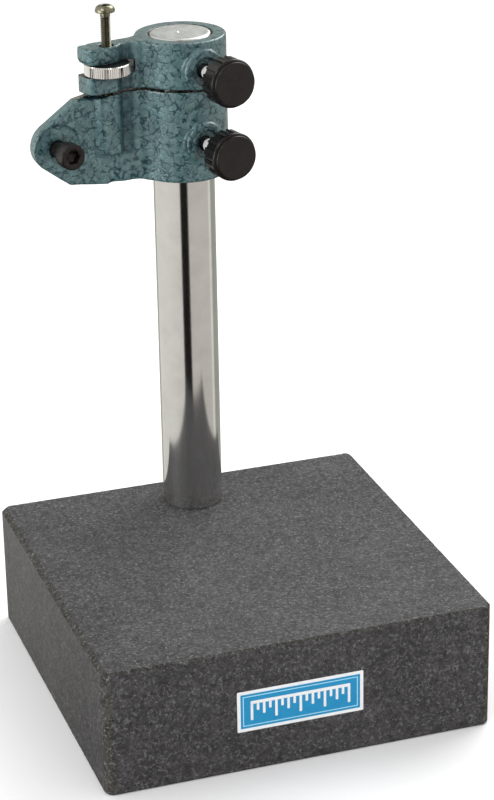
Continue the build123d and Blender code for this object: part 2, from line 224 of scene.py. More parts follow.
def hammer_paint():
    """Hammertone enamel: grey-teal domes with a dark, broken network of veins.

    It is darkened by painted shade in hollows and in the valley beside the ear and the pad, and shows metal
    where it is bare; that metal is drawn near black as painted shade, with painted glints.
    """
    s = Shader("hammer_paint")
    dome, small_dome = 2.7 * MM, 1.25 * MM
    uneven = s.warped(2.1 * MM, 2.4 * MM)
    tone = s.ramp(
        s.noise(1.6 * MM, 4, 0.7),
        (0.3, (0.058, 0.122, 0.132)), (0.5, (0.089, 0.164, 0.172)), (0.74, (0.134, 0.215, 0.222)),
    )
    cell_tone = s.ramp(s.cells(dome, output="Color", place=uneven), (0.1, 0.84), (0.9, 1.14))
    colour = s.mix(1.0, tone, cell_tone, "MULTIPLY")
    border = s.cells(dome, "DISTANCE_TO_EDGE", place=uneven)
    open_vein = s.ramp(s.noise(3.1 * MM, 3, 0.6), (0.38, 0.0), (0.6, 0.17))
    vein = s.ramp(s.math("SUBTRACT", open_vein, border), (0.0, 0.0), (0.1, 1.0))
    small = s.cells(small_dome, "DISTANCE_TO_EDGE", place=uneven)
    open_small = s.ramp(s.noise(2.6 * MM, 3, 0.65), (0.5, 0.0), (0.68, 0.18))
    fine_vein = s.ramp(s.math("SUBTRACT", open_small, small), (0.0, 0.0), (0.1, 1.0))
    dark = s.math("MAXIMUM", vein, s.math("MULTIPLY", fine_vein, 0.7))
    colour = s.mix(s.math("MULTIPLY", dark, 0.88), colour, (0.004, 0.031, 0.042))
    # Painted shade: darker where ambient occlusion finds hollows.
    hollow_shade = s.ramp(s.open_share(7 * MM), (0.4, (0.16, 0.25, 0.29)), (0.88, (1, 1, 1)))
    colour = s.mix(1.0, colour, hollow_shade, "MULTIPLY")
    # Painted shade in the valley beside the ear and the pad, from the valley_shade attribute.
    valley_shade = s.node("ShaderNodeAttribute", attribute_name="valley_shade").outputs["Fac"]
    colour = s.mix(s.math("MULTIPLY", valley_shade, 0.72), colour, (0.016, 0.042, 0.05))
    wear = s.node("ShaderNodeAttribute", attribute_name="bare").outputs["Fac"]
    edge = s.math("ADD", wear, s.math("MULTIPLY", s.noise(1.2 * MM, 3), 0.35))
    scuffed = s.ramp(edge, (0.62, 0.0), (0.72, 1.0))
    cast_tone = s.noise(1.1 * MM, 3)
    # Bare metal drawn near black: painted shade in the bore's gap, the slot and the parting line.
    metal = s.ramp(cast_tone, (0.3, (0.006, 0.006, 0.006)), (0.7, (0.022, 0.02, 0.02)))
    # Painted glints: pale spots on the bare parting line stand in for highlights.
    rubbed = s.ramp(cast_tone, (0.5, 0.0), (0.57, 1.0))
    glint = s.math("MULTIPLY", rubbed, s.ramp(wear, (0.6, 1.0), (0.8, 0.0)))
    metal = s.mix(glint, metal, (0.5, 0.48, 0.47))
    s.set(Base_Color=s.mix(scuffed, colour, metal))
    ripple = s.bump(s.ramp(border, (0.0, 0.0), (0.16, 0.75), (0.45, 1.0)), 0.07 * MM)
    s.set(Normal=s.bump(s.noise(0.45 * MM, 2), 0.025 * MM, ripple))
    s.set(Metallic=s.between(scuffed, 0.25, 0.85), Roughness=s.between(s.noise(1.1 * MM), 0.22, 0.38))
    s.set(Coat_Weight=0.45, Coat_Roughness=0.08)
    return s.material


def polished_metal(name, tint, roughness, drawn=(1, 1, 0.08), mark=0.003):
    """Plated or oiled metal with faint drawn lines and handling haze."""
    s = Shader(name)
    lines = s.noise(0.25 * MM, 3, 0.6, place=s.stretched(*drawn))
    haze = s.noise(9 * MM, 4, 0.6)
    shade = tuple(0.9 * part for part in tint)
    s.set(Base_Color=s.mix(s.ramp(haze, (0.35, 0.0), (0.75, 1.0)), tint, shade))
    spread = s.math("ADD", s.math("MULTIPLY", lines, 0.05), s.math("MULTIPLY", haze, 0.06))
    s.set(Metallic=1.0, Roughness=s.math("ADD", spread, roughness - 0.05))
    s.set(Normal=s.bump(lines, mark * MM))
    return s.material


def bright_shank():
    """White zinc on the knobs' studs: half satin, so that it stays pale beside the paint."""
    s = Shader("white_zinc")
    satin = s.noise(0.7 * MM, 3, 0.6)
    s.set(Base_Color=s.ramp(satin, (0.3, (0.74, 0.74, 0.73)), (0.75, (0.88, 0.88, 0.88))))
    s.set(Metallic=0.35, Roughness=s.between(satin, 0.16, 0.3), Normal=s.bump(satin, 0.004 * MM))
    return s.material


def turned_end():
    """Faced end of the column: fine rings about its axis under the chrome."""
    s = Shader("turned_end")
    from_axis = s.vector("SUBTRACT", s.place, tuple(HEAD.translation))
    radius = s.vector("LENGTH", s.vector("MULTIPLY", from_axis, (1, 1, 0)), (0, 0, 0), "Value")
    rings = s.math("SINE", s.math("MULTIPLY", radius, TURN / (0.35 * MM)))
    uneven = s.noise(2.5 * MM, 3)
    s.set(Base_Color=s.ramp(uneven, (0.3, (0.6, 0.61, 0.61)), (0.75, (0.74, 0.75, 0.75))))
    s.set(Metallic=1.0, Roughness=s.between(uneven, 0.3, 0.46), Normal=s.bump(rings, 0.002 * MM))
    return s.material


def zinc_yellow():
    """Yellow chromate over zinc: olive to pink drift with dull patches."""
    s = Shader("yellow_zinc")
    drift = s.ramp(
        s.noise(2.2 * MM, 3, 0.6),
        (0.3, (0.17, 0.16, 0.11)), (0.5, (0.27, 0.25, 0.18)),
        (0.62, (0.22, 0.25, 0.19)), (0.76, (0.38, 0.24, 0.21)),
    )
    # Painted shade: darker in the thread's grooves, where ambient occlusion finds them.
    groove_shade = s.ramp(s.open_share(0.6 * MM), (0.3, 0.12), (0.85, 1.0))
    s.set(Base_Color=s.mix(1.0, drift, groove_shade, "MULTIPLY"), Metallic=1.0)
    s.set(Roughness=s.between(s.noise(0.8 * MM), 0.2, 0.4))
    s.set(Normal=s.bump(s.noise(0.3 * MM), 0.008 * MM))
    return s.material


def black_oxide():
    """Oiled black oxide with a brown cast and rubbed, lighter patches."""
    s = Shader("black_oxide")
    rubbed = s.ramp(
        s.noise(1.6 * MM, 4, 0.65),
        (0.45, (0.01, 0.0085, 0.008)), (0.8, (0.026, 0.02, 0.019)),
    )
    s.set(Base_Color=rubbed, Metallic=0.4, Roughness=s.between(s.noise(0.7 * MM), 0.2, 0.38))
    s.set(Normal=s.bump(s.noise(0.25 * MM), 0.008 * MM))
    return s.material


def moulded_black(name, tone, roughness, grain):
    """Black moulded plastic: faint flow tone, fine spark-eroded grain."""
    s = Shader(name)
    flow = s.noise(5 * MM, 3)
    pale = tuple(1.7 * part for part in tone)
    s.set(Base_Color=s.mix(s.ramp(flow, (0.4, 0.0), (0.8, 1.0)), tone, pale))
    fine = s.noise(0.22 * MM, 2)
    s.set(Roughness=s.between(flow, roughness - 0.05, roughness + 0.08))
    s.set(Normal=s.bump(fine, grain * MM), Specular_IOR_Level=0.28)
    return s.material


def turned_brass():
    """Turned brass with fine tool lines and a little tarnish."""
    s = Shader("turned_brass")
    tarnish = s.noise(1.4 * MM, 3)
    s.set(Base_Color=s.ramp(tarnish, (0.35, (0.62, 0.44, 0.17)), (0.75, (0.4, 0.27, 0.1))))
    s.set(Metallic=1.0, Roughness=s.between(tarnish, 0.22, 0.42))
    s.set(Normal=s.bump(s.noise(0.15 * MM), 0.006 * MM))
    return s.material


def printed_film(name, colour, worn):
    """Printed vinyl: slightly uneven ink under a satin film."""
    s = Shader(name)
    ink = s.ramp(s.noise(3 * MM, 4, 0.6), (0.42, 0.0), (0.85, 1.0))
    s.set(Base_Color=s.mix(ink, colour, worn), Roughness=s.between(s.noise(2 * MM), 0.3, 0.42))
    s.set(Normal=s.bump(s.noise(2.4 * MM, 2), 0.015 * MM))
    s.set(Coat_Weight=0.15, Coat_Roughness=0.2)
    return s.material


# The lapped top is given a lighter colour than the faced sides: partly its finish, partly painted light on
# the top.
LAPPED = granite(
    "granite_lapped", (0.045, 0.044, 0.046), (0.084, 0.082, 0.085), (0.22, 0.22, 0.225),
    roughness=0.6, relief=0.01 * MM, specular=0.15, flecks=0.85,
)
SAWN = granite(
    "granite_faced", (0.032, 0.0305, 0.032), (0.062, 0.059, 0.061), (0.22, 0.22, 0.225),
    roughness=0.32, relief=0.01 * MM, specular=0.22, flecks=0.6,
)
GROUND = granite(
    "granite_ground_edge", (0.026, 0.025, 0.022), (0.07, 0.067, 0.061), (0.2, 0.2, 0.19),
    roughness=0.7, relief=0.07 * MM, specular=0.15, flecks=0.8,
)
PAINT = hammer_paint()
CHROME = polished_metal("hard_chrome", (0.66, 0.655, 0.64), 0.13)
TURNED = turned_end()
NUT_CHROME = polished_metal("nut_chrome", (0.84, 0.83, 0.81), 0.12, mark=0.002)
STEEL = polished_metal("bright_steel", (0.66, 0.655, 0.64), 0.25, drawn=(1, 1, 1), mark=0.006)
WHITE_METAL = bright_shank()
# Dark tint as painted shade, with oil: on the nut's flats under the slab and the stud's thread in the
# casting.
SHADED_OILED = polished_metal("oiled_metal_shaded", (0.04, 0.042, 0.042), 0.42, drawn=(1, 1, 1), mark=0.006)
ZINC = zinc_yellow()
OXIDE = black_oxide()
KNOB = moulded_black("knob_plastic", (0.007, 0.006, 0.006), 0.2, 0.006)
CAP = moulded_black("cap_plastic", (0.0085, 0.007, 0.0065), 0.22, 0.003)
BRASS = turned_brass()
WHITE_INK = printed_film("label_white", (0.76, 0.77, 0.78), (0.66, 0.67, 0.69))
BLUE_INK = printed_film("label_blue", (0.0, 0.23, 0.46), (0.002, 0.26, 0.51))
PALE_INK = printed_film("label_pale_line", (0.36, 0.66, 0.8), (0.28, 0.6, 0.76))


# ------------------------------------------------------------- mesh making
def piece(name, verts, faces, materials, body, replaced, sharp=32.0):
    """Makes a piece from vertices in the row frame and hangs it on its body."""
    mesh = bpy.data.meshes.new(name)
    mesh.from_pydata([tuple(v) for v in verts], [], faces)
    return finish_piece(name, mesh, materials, body, replaced, sharp)


def finish_piece(name, mesh, materials, body, replaced, sharp):
    """Shades a mesh smooth up to the sharp angle in degrees, and makes it a piece on its body."""
    bm = bmesh.new()
    bm.from_mesh(mesh)
    bmesh.ops.recalc_face_normals(bm, faces=bm.faces)
    bm.to_mesh(mesh)
    bm.free()
    for face in mesh.polygons:
        face.use_smooth = True
    mesh.set_sharp_from_angle(angle=math.radians(sharp))
    for material in materials:
        mesh.materials.append(material)
    made = bpy.data.objects.new(name, mesh)
    bpy.context.scene.collection.objects.link(made)
    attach(made, body)
    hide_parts(*replaced)
    return made


def ring(height, radius, count):
    """Level ring of points; the radius is a number or a function of the angle."""
    points = []
    for step in range(count):
        angle = TURN * step / count
        size = radius(angle) if callable(radius) else radius
        points.append(Vector((size * math.cos(angle), size * math.sin(angle), height)))
    return points


def pole(height):
    """A ring shrunk to one point, which closes an end."""
    return [Vector((0, 0, height))]


def skin(rings, looped=False):
    """Vertices and faces of a skin through the rings; looped joins the last to the first."""
    verts = [point for points in rings for point in points]
    starts = [sum(len(points) for points in rings[:i]) for i in range(len(rings))]
    pairs = list(zip(range(len(rings)), range(1, len(rings))))
    if looped:
        pairs.append((len(rings) - 1, 0))
    faces = []
    for lower, upper in pairs:
        a, b = starts[lower], starts[upper]
        m, n = len(rings[lower]), len(rings[upper])
        count = max(m, n)
        for i in range(count):
            j = (i + 1) % count
            corners = [a + i % m, a + j % m, b + j % n, b + i % n]
            faces.append(list(dict.fromkeys(corners)))
    return verts, faces


def rounding(radius_at, height_at, size, start, end, steps=5):
    """Points of a profile's rounded corner about a centre, from one angle to another in degrees."""
    points = []
    for step in range(steps + 1):
        angle = math.radians(start + (end - start) * step / steps)
        points.append((radius_at + size * math.cos(angle), height_at + size * math.sin(angle)))
    return points


def turned(profile, count):
    """Rings for a profile of (radius, height) points; a radius of 0 makes a pole."""
    return [pole(h) if r == 0 else ring(h, r, count) for r, h in profile]


def across_flats(flats):
    """Radius of a hexagon at an angle, for its size across the flats."""
    return lambda angle: flats / 2 / math.cos((angle % (TURN / 6)) - TURN / 12)


def thread(radius, pitch, start, end, count, per_turn=10):
    """Rings of a helical thread from one height to another, run out at both ends."""
    depth = 0.61 * pitch
    crest, flank = 0.14, 0.68
    total = max(2, round((end - start) / pitch * per_turn))

    def radius_at(height):
        fade = min(1, (height - start) / pitch, (end - height) / pitch)

        def at(angle):
            phase = (height / pitch - angle / TURN) % 1
            groove = min(1, max(0, (abs(2 * phase - 1) - crest) / flank))
            return radius - depth * groove * max(0, fade)
        return at

    heights = [start + (end - start) * step / total for step in range(total + 1)]
    return [ring(height, radius_at(height), count) for height in heights]


def round_piece(name, rings, origin, toward, finishes, body, node, sharp=35, looped=False):
    """A piece through rings drawn about +Z, set at an origin in the head's frame and turned toward."""
    spin = Vector(toward).to_track_quat("Z", "Y").to_matrix().to_4x4()
    matrix = HEAD @ Matrix.Translation(origin) @ spin
    verts, faces = skin(rings, looped)
    return piece(name, [matrix @ v for v in verts], faces, finishes, body, [node], sharp)


OUTWARD = (0, 1, 0)
UPWARD = (0, 0, 1)


# ------------------------------------------------------------------ granite
def block_ring(half, corner, height, spacing, inset=(0, 0, 0, 0), fall=(0, 0, 0, 0)):
    """Ring round the block's rounded square; each side is drawn in and lowered by its own amount."""
    points = []
    core = half - corner
    arc_steps = 10
    run_steps = round(2 * core / spacing)
    for side in range(4):
        turn = Matrix.Rotation(side * TURN / 4, 3, "Z")
        size = corner - inset[side]
        change = inset[side] - inset[(side + 1) % 4]
        drop = fall[side]
        drop_change = fall[(side + 1) % 4] - fall[side]
        for step in range(run_steps):
            along = -core + 2 * core * step / run_steps
            points.append(turn @ Vector((core + size, along, height - drop)))
        for step in range(arc_steps):
            share = step / arc_steps
            angle = TURN / 4 * share
            reach = size + change * share
            level = height - drop - drop_change * share
            x, y = core + reach * math.cos(angle), core + reach * math.sin(angle)
            points.append(turn @ Vector((x, y, level)))
    return points


def chipped(points, depth, lift):
    """Ragged arris: small chips pull the ring's points inwards and up or down by lift."""
    ragged = []
    chip_size, crumb_size = 1.5 * MM, 0.6 * MM
    for point in points:
        chip = max(0.0, noise.noise(point / chip_size) - 0.05) + 0.5 * abs(noise.noise(point / crumb_size))
        inward = -Vector((point.x, point.y, 0)).normalized()
        ragged.append(point + depth * chip * (inward + UP * lift))
    return ragged


# Chamfers ground along the top of the right, back, left and front sides.
TOP_CHAMFERS = (0.7 * MM, 2.0 * MM, 2.0 * MM, 0.6 * MM)
FOOT_CHAMFER = 0.8 * MM


def granite_block():
    """The block: ragged chamfers at foot and top, and the stepped hole for the column's stud."""
    low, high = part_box("granite_base")
    half, corner, top = (high.x - low.x) / 2, 3.5 * MM, high.z
    hole, bore, bore_top = 5.5 * MM, 15.0 * MM, 16 * MM
    spacing = 0.8 * MM
    foot_chips, bevel_chips, edge_chips = 0.12 * MM, 0.3 * MM, 0.16 * MM
    rim = 0.6 * MM
    rings = []
    for share in (1.0, 0.5, 0.0):
        inset = [FOOT_CHAMFER * share] * 4
        points = block_ring(half, corner, FOOT_CHAMFER * (1 - share), spacing, inset)
        rings.append(chipped(points, foot_chips, 0.2))
    side_levels = 5
    reach = top - 3 * max(TOP_CHAMFERS)
    for step in range(1, side_levels + 1):
        rings.append(block_ring(half, corner, reach * step / side_levels, spacing))
    bevel_steps = 5
    for step in range(bevel_steps + 1):
        share = step / bevel_steps
        inset = [size * share for size in TOP_CHAMFERS]
        fall = [size * (1 - share) for size in TOP_CHAMFERS]
        depth = bevel_chips if 0 < step < bevel_steps else edge_chips
        rings.append(chipped(block_ring(half, corner, top, spacing, inset, fall), depth, -0.4))
    rings.append(block_ring(half, corner, top, spacing, [size + rim for size in TOP_CHAMFERS]))
    verts, faces = skin(rings)
    tube = turned([(bore, 0), (bore, bore_top), (hole, bore_top), (hole, top)], 64)
    tube_verts, tube_faces = skin(tube)
    offset = len(verts)
    verts += [v + HEAD.translation for v in tube_verts]
    faces += [[i + offset for i in face] for face in tube_faces]
    mesh = bpy.data.meshes.new("granite_block")
    mesh.from_pydata([tuple(v) for v in verts], [], faces)
    close_flats(mesh, 0.0, top)
    finish_piece("granite_block", mesh, (LAPPED, SAWN, GROUND), "base", ["granite_base"], 30)
    for face in mesh.polygons:
        face.material_index = granite_finish(face, half, corner, top)


def close_flats(mesh, bottom, top):
    """Fills the block's level faces between its outer ring and the hole."""
    near = 0.3 * MM
    bm = bmesh.new()
    bm.from_mesh(mesh)
    for height in (bottom, top):
        open_edges = [edge for edge in bm.edges if edge.is_boundary]
        rim = [edge for edge in open_edges if all(abs(v.co.z - height) < near for v in edge.verts)]
        bmesh.ops.triangle_fill(bm, edges=rim, use_beauty=True, normal=UP)
    bm.to_mesh(mesh)
    bm.free()


def granite_finish(face, half, corner, top):
    """0 for the lapped top, 1 for the faced sides, 2 for the ground edges and the bore."""
    centre, rise = face.center, abs(face.normal.z)
    along, out = sorted((abs(centre.x), abs(centre.y)))
    if centre.z > top - 0.12 * MM and rise > 0.9:
        return 0
    if rise < 0.2 and along < half - corner and out > half - 0.2 * MM:
        return 1
    return 2


def column_bar():
    """Chromed bar: rounded upper edge, faced end with its centre drill."""
    low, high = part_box("column")
    radius, edge, foot_edge = (high.x - low.x) / 2, 1.3 * MM, 0.3 * MM
    drill, drill_edge, dish = 1.0 * MM, 0.2 * MM, 0.03 * MM
    bottom, top = low.z, high.z
    steps = 12
    profile = [(0, bottom), (radius - foot_edge, bottom), (radius, bottom + foot_edge)]
    profile += [(radius, bottom + (top - bottom) * step / steps) for step in range(1, steps)]
    profile += rounding(radius - edge, top - edge, edge, 0, 90, 8)
    for step in range(1, steps):
        share = step / steps
        reach = radius - edge + (drill + drill_edge - radius + edge) * share
        profile.append((reach, top - dish * share))
    profile += [(drill, top - 0.06 * MM), (drill * 0.3, top - 0.7 * MM), (0, top - 0.8 * MM)]
    verts, faces = skin(turned(profile, 144))
    verts = [v + HEAD.translation for v in verts]
    made = piece("column_bar", verts, faces, (CHROME, TURNED), "column", ["column"], 40)
    for face in made.data.polygons:
        flat = face.normal.z > 0.75 and face.center.z > top - edge
        face.material_index = 1 if flat else 0


# -------------------------------------------------------------------- label
def plate(bm, low, high, front, back, corner, index):
    """Thin plate with rounded corners in the label's plane, x across and z up."""
    steps = 4
    outline = []
    middles = (
        (high[0] - corner, high[1] - corner), (low[0] + corner, high[1] - corner),
        (low[0] + corner, low[1] + corner), (high[0] - corner, low[1] + corner),
    )
    for quarter, (x, z) in enumerate(middles):
        for step in range(steps + 1):
            angle = TURN / 4 * (quarter + step / steps)
            outline.append((x + corner * math.cos(angle), z + corner * math.sin(angle)))
    near = [bm.verts.new((x, front, z)) for x, z in outline]
    far = [bm.verts.new((x, back, z)) for x, z in outline]
    faces = [bm.faces.new(near), bm.faces.new(far[::-1])]
    for i in range(len(outline)):
        j = (i + 1) % len(outline)
        faces.append(bm.faces.new((near[j], near[i], far[i], far[j])))
    for face in faces:
        face.material_index = index


def label_sticker():
    """Sticker with a blue panel, a thin frame and a plain row of scale marks."""
    low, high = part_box("front_label")
    back, face = high.y, low.y
    layer, rim = 0.015 * MM, 1.3 * MM
    inner, line = rim + 0.9 * MM, 0.35 * MM
    bm = bmesh.new()
    plate(bm, (low.x, low.z), (high.x, high.z), face + 2 * layer, back, 0.4 * MM, 0)
    plate(bm, (low.x + rim, low.z + rim), (high.x - rim, high.z - rim), face + layer, back, 0.15 * MM, 1)
    left, right = low.x + inner, high.x - inner
    bottom, top = low.z + inner, high.z - inner
    strips = (
        ((left, bottom), (right, bottom + line)), ((left, top - line), (right, top)),
        ((left, bottom + line), (left + line, top - line)),
        ((right - line, bottom + line), (right, top - line)),
    )
    for start, end in strips:
        plate(bm, start, end, face, back, 0.02 * MM, 2)
    margin, headroom = 3 * MM, 2.2 * MM
    scale_marks(bm, left + margin, right - margin, bottom + headroom, top - headroom, face, back)
    mesh = bpy.data.meshes.new("label_sticker")
    bm.to_mesh(mesh)
    bm.free()
    finish_piece("label_sticker", mesh, (WHITE_INK, BLUE_INK, PALE_INK), "base", ["front_label"], 30)


def scale_marks(bm, left, right, bottom, top, face, back):
    """A bar with marks hanging from it, as on a plain rule."""
    bar, width, marks = 1.3 * MM, 1.0 * MM, 17
    gap, long_mark, middle_mark, short_mark = 0.02 * MM, 1.0, 0.68, 0.42
    plate(bm, (left, top - bar), (right, top), face, back, 0.3 * MM, 0)
    reach = top - bar - bottom
    for mark in range(marks):
        x = left + (right - left - width) * mark / (marks - 1)
        length = reach * (long_mark if mark % 4 == 0 else middle_mark if mark % 2 == 0 else short_mark)
        plate(bm, (x, top - bar - length), (x + width, top - bar - gap), face, back, 0.25 * MM, 0)


# ------------------------------------------------------------------ castings
# Places on the castings, in the head's own frame. Heights are above the casting's underside.
BORE_REACH = 12.9 * MM
SLOT_BOTTOM, SLOT_TOP, SLOT_END = 6.6 * MM, 11.4 * MM, 21.4 * MM
EAR_FACET_START = 36.4 * MM
LUG_START = 46 * MM
LUG_TAPER_CENTRE = (50 * MM, 210 * MM)
PAD_FOOT = 12.7 * MM
PAD_SIDE = (34.5 * MM, 43.5 * MM)
VALLEY = (23.6 * MM, 26.6 * MM)
SHADE_VALLEY = (22.8 * MM, 27.4 * MM)


def bare_share(point, normal, low, high, slot):
    """How bare of paint a casting is at a point in the head's frame, from 0 to 1."""
    level = abs(normal.z)
    if math.hypot(point.x, point.y) < BORE_REACH and level < 0.93:
        return 1.0
    if slot and slot[0] - 0.1 * MM < point.z < slot[1] + 0.1 * MM and point.x > slot[2] - 0.2 * MM:
        on_end = normal.x > 0.6 and point.x < slot[2] + 0.6 * MM
        return 0.9 if level > 0.6 or on_end else 0.0
    parting = low.z if slot else high.z
    # The parting line's share of 0.55 is where the paint's painted glints show.
    if abs(point.z - parting) < 0.35 * MM and level > 0.6:
        return 0.55 if point.x < LUG_START else 0.0
    return 0.0


def valley_shade_share(point, low, is_arm):
    """Painted shade in the valley beside the ear and the pad, where the casting turns from the light, uneven
    by noise.
    """
    across = between_limits(point.x, *SHADE_VALLEY, 1.6 * MM)
    valley = across * between_limits(point.y, 0.5 * MM, 6 * MM, MM)
    if is_arm:
        valley *= between_limits(point.z, low.z + PAD_FOOT, low.z + 60 * MM, 1.5 * MM)
    return valley * (0.75 + 0.5 * noise.noise(point / (2.2 * MM)))


def cast_relief(point):
    """Unevenness of the cast and painted surface, always inward."""
    lumps = noise.noise(point / (7 * MM)) * 0.07 * MM
    dimples = noise.noise(point / (1.3 * MM)) * 0.03 * MM
    return lumps + dimples - 0.08 * MM


def between_limits(value, low, high, fade):
    """1 between two limits, falling to 0 over the fade outside them."""
    inside = min(value - low, high - value)
    return max(0.0, min(1.0, 1 + inside / fade))


def share_past(value, start, length):
    """0 before the start, rising to 1 over the length after it."""
    return max(0.0, min(1.0, (value - start) / length))


def blended_share(point, low, high):
    """Where the arm's cast surfaces run into each other: the pad's outer side and its foot."""
    foot = low.z + PAD_FOOT
    front = between_limits(point.y, -2 * MM, 6 * MM, 1 * MM)
    above = between_limits(point.z, foot - 0.4 * MM, high.z + MM, 0.8 * MM)
    below = between_limits(point.z, low.z - MM, foot - 2 * MM, 1.5 * MM)
    pad_side = between_limits(point.x, *PAD_SIDE, 1.5 * MM) * above
    root = between_limits(point.x, 20 * MM, 31 * MM, 2 * MM) * below
    return front * max(pad_side, root)


def modified(mesh, name, kind, **settings):
    """A copy of the mesh with one modifier applied; weights give each point's share of its effect."""
    worker = bpy.data.objects.new(name + "_work", mesh)
    bpy.context.scene.collection.objects.link(worker)
    modifier = worker.modifiers.new("work", kind)
    weights = settings.pop("weights", None)
    if weights is not None:
        group = worker.vertex_groups.new(name="share")
        for index, weight in enumerate(weights):
            group.add([index], weight, "REPLACE")
        modifier.vertex_group = group.name
    for setting, value in settings.items():
        setattr(modifier, setting, value)
    graph = bpy.context.evaluated_depsgraph_get()
    result = bpy.data.meshes.new_from_object(worker.evaluated_get(graph))
    bpy.data.objects.remove(worker)
    return result


def casting(name, node, body, trim, slot=None):
    """The CAD casting, reskinned with soft painted edges and a cast surface.

    A slot, as (bottom, top, end), marks the collar; without one the casting is the arm.
    """
    low, high = head_box(node)
    inverse = HEAD.inverted()
    spin = inverse.to_3x3()
    mesh = modified(frame["nodes"][node].data.copy(), name, "REMESH", mode="VOXEL", voxel_size=0.32 * MM)
    mesh = modified(mesh, name, "SMOOTH", factor=0.5, iterations=3)
    if slot is None:
        weights = [blended_share(inverse @ v.co, low, high) for v in mesh.vertices]
        mesh = modified(mesh, name, "SMOOTH", factor=0.5, iterations=320, weights=weights)
    mesh.materials.clear()
    bare = mesh.attributes.new("bare", "FLOAT", "POINT")
    # valley_shade holds painted shade for the valley beside the ear and the pad.
    valley_shade = mesh.attributes.new("valley_shade", "FLOAT", "POINT")
    normals = [v.normal.copy() for v in mesh.vertices]
    for vertex, normal in zip(mesh.vertices, normals):
        point = inverse @ vertex.co
        share = bare_share(point, spin @ normal, low, high, slot)
        bare.data[vertex.index].value = share
        valley_shade.data[vertex.index].value = valley_shade_share(point, low, slot is None)
        if share < 0.5:
            point += spin @ normal * cast_relief(point)
        if share < 1.0:
            vertex.co = HEAD @ trim(point, low, high)
    return finish_piece(name, mesh, (PAINT,), body, [node], 60)


def trim_ear(point, low, high):
    """The collar as fettled by hand: a facet on the ear, its slot corner cut back, the bore's mouth eased."""
    fall = share_past(point.x, EAR_FACET_START, 1.6 * MM)
    above = share_past(point.z, high.z - 3 * MM, 3 * MM)
    wobble = 1 + 0.3 * noise.noise(point / (3 * MM))
    point.z -= 0.3 * MM * fall * above * wobble
    tip = share_past(point.x, high.x - 2.5 * MM, 2.5 * MM)
    height = point.z - (low.z + SLOT_TOP)
    cut = 1.7 * MM
    if -0.6 * MM <= height < cut:
        point.x -= 0.9 * MM * tip * min(1.0, 1 - height / cut)
    radius = math.hypot(point.x, point.y)
    mouth = 1.2 * MM
    if radius < BORE_REACH + 0.5 * MM and point.z > high.z - mouth:
        near = between_limits(radius, 11 * MM, 12.5 * MM, 0.9 * MM)
        grown = 1 + 0.4 * MM * near * min(1.0, (point.z - high.z + mouth) / MM) / radius
        point = Vector((point.x * grown, point.y * grown, point.z))
    return sunk_valley(point)


def sunk_valley(point):
    """The hollow between the ear or the pad and the ring, drawn in deeper than in the CAD."""
    across = between_limits(point.x, *VALLEY, 1.8 * MM)
    front = between_limits(point.y, 0.8 * MM, 6 * MM, 0.8 * MM)
    point.y -= 0.9 * MM * across ** 2 * front
    return point


def draft_lug(point, low, high):
    """The arm's lug tapered towards its back, as cast, and the valley beside the pad."""
    lug_middle = Vector((LUG_TAPER_CENTRE[0], point.y, LUG_TAPER_CENTRE[1]))
    behind = share_past(-point.y, 0.5 * MM, 5.5 * MM)
    out = share_past(point.x, 38 * MM, 6 * MM)
    point += (lug_middle - point) * 0.06 * behind * out
    valley = between_limits(point.z, low.z + 13 * MM, high.z + MM, 1.5 * MM)
    return point.lerp(sunk_valley(point.copy()), valley)


# ---------------------------------------------------------- fine adjustment
def fine_screw():
    """Button-head screw: hex socket, short plain shank, fine thread to the tip."""
    low, high = head_box("fine_adjust_screw")
    head_radius, head = (high.x - low.x) / 2, 2.6 * MM
    x = (low.x + high.x) / 2
    radius, pitch = 2.0 * MM, 0.7 * MM
    shank = radius - 0.14 * MM
    flats, rim, crown = 2.5 * MM, 0.3 * MM, 1.9 * MM
    shoulder, floor = high.z - head, high.z - 1.3 * MM
    count, dome = 72, 8
    rings = turned([(0, low.z), (radius - 0.5 * MM, low.z)], count)
    rings += thread(radius - 0.01 * MM, pitch, low.z + 0.1 * MM, shoulder - 1.2 * MM, count)
    rings += turned([(shank, shoulder - 1.1 * MM), (shank, shoulder - 0.15 * MM)], count)
    rings += turned([(radius + 0.12 * MM, shoulder), (head_radius - 0.25 * MM, shoulder)], count)
    rings += turned(rounding(head_radius - rim, shoulder + rim, rim, -90, 0, 4), count)
    for step in range(1, dome + 1):
        angle = TURN / 4 * step / dome
        size = crown + (head_radius - crown) * math.cos(angle)
        rings.append(ring(shoulder + 0.35 * MM + (head - 0.35 * MM) * math.sin(angle), size, count))
    rings.append(ring(high.z - 0.02 * MM, 1.6 * MM, count))
    rings.append(ring(high.z - 0.14 * MM, across_flats(flats), count))
    rings.append(ring(floor, across_flats(flats - 0.04 * MM), count))
    rings += turned([(0.7 * MM, floor - 0.25 * MM), (0, floor - 0.5 * MM)], count)
    origin = (x, 0, 0)
    round_piece("fine_screw", rings, origin, UPWARD, (ZINC,), "arm", "fine_adjust_screw")


